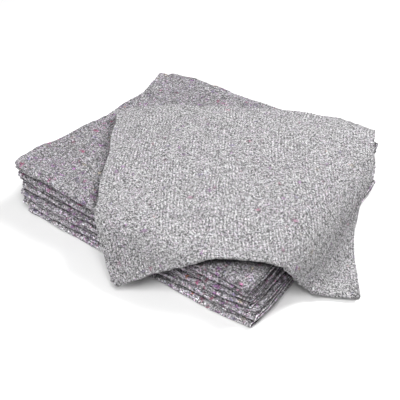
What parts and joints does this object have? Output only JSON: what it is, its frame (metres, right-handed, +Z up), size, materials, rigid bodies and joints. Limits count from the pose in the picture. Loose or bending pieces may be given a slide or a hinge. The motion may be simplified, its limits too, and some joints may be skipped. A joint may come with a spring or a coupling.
{
  "type": "stack of moving blankets",
  "caption": "Grey felt furniture blankets folded into flat pads and piled up, with one more lying askew over the top and hanging down past the edges.",
  "frame": {"origin": "on the ground under the middle of the stack, on the flat underside of the lowest blanket", "axes": "+X along the stack's longer side, towards its front corner in the picture; +Y along its shorter side, from the front corner to the right corner; +Z up"},
  "size_m": [0.8864, 0.7627, 0.1947],
  "materials": {
    "stack_felt": "needled felt of recycled fibre, mid grey with small coloured flecks, matt",
    "draped_felt": "needled felt of recycled fibre, lighter salt-and-pepper grey with fine ribs and few flecks, matt"
  },
  "bodies": {
    "root": {"blanket_1": "stack_felt", "blanket_2": "stack_felt", "blanket_3": "stack_felt", "blanket_4": "stack_felt", "blanket_5": "stack_felt", "blanket_6": "stack_felt", "draped_blanket": "draped_felt"}
  },
  "joints": []
}
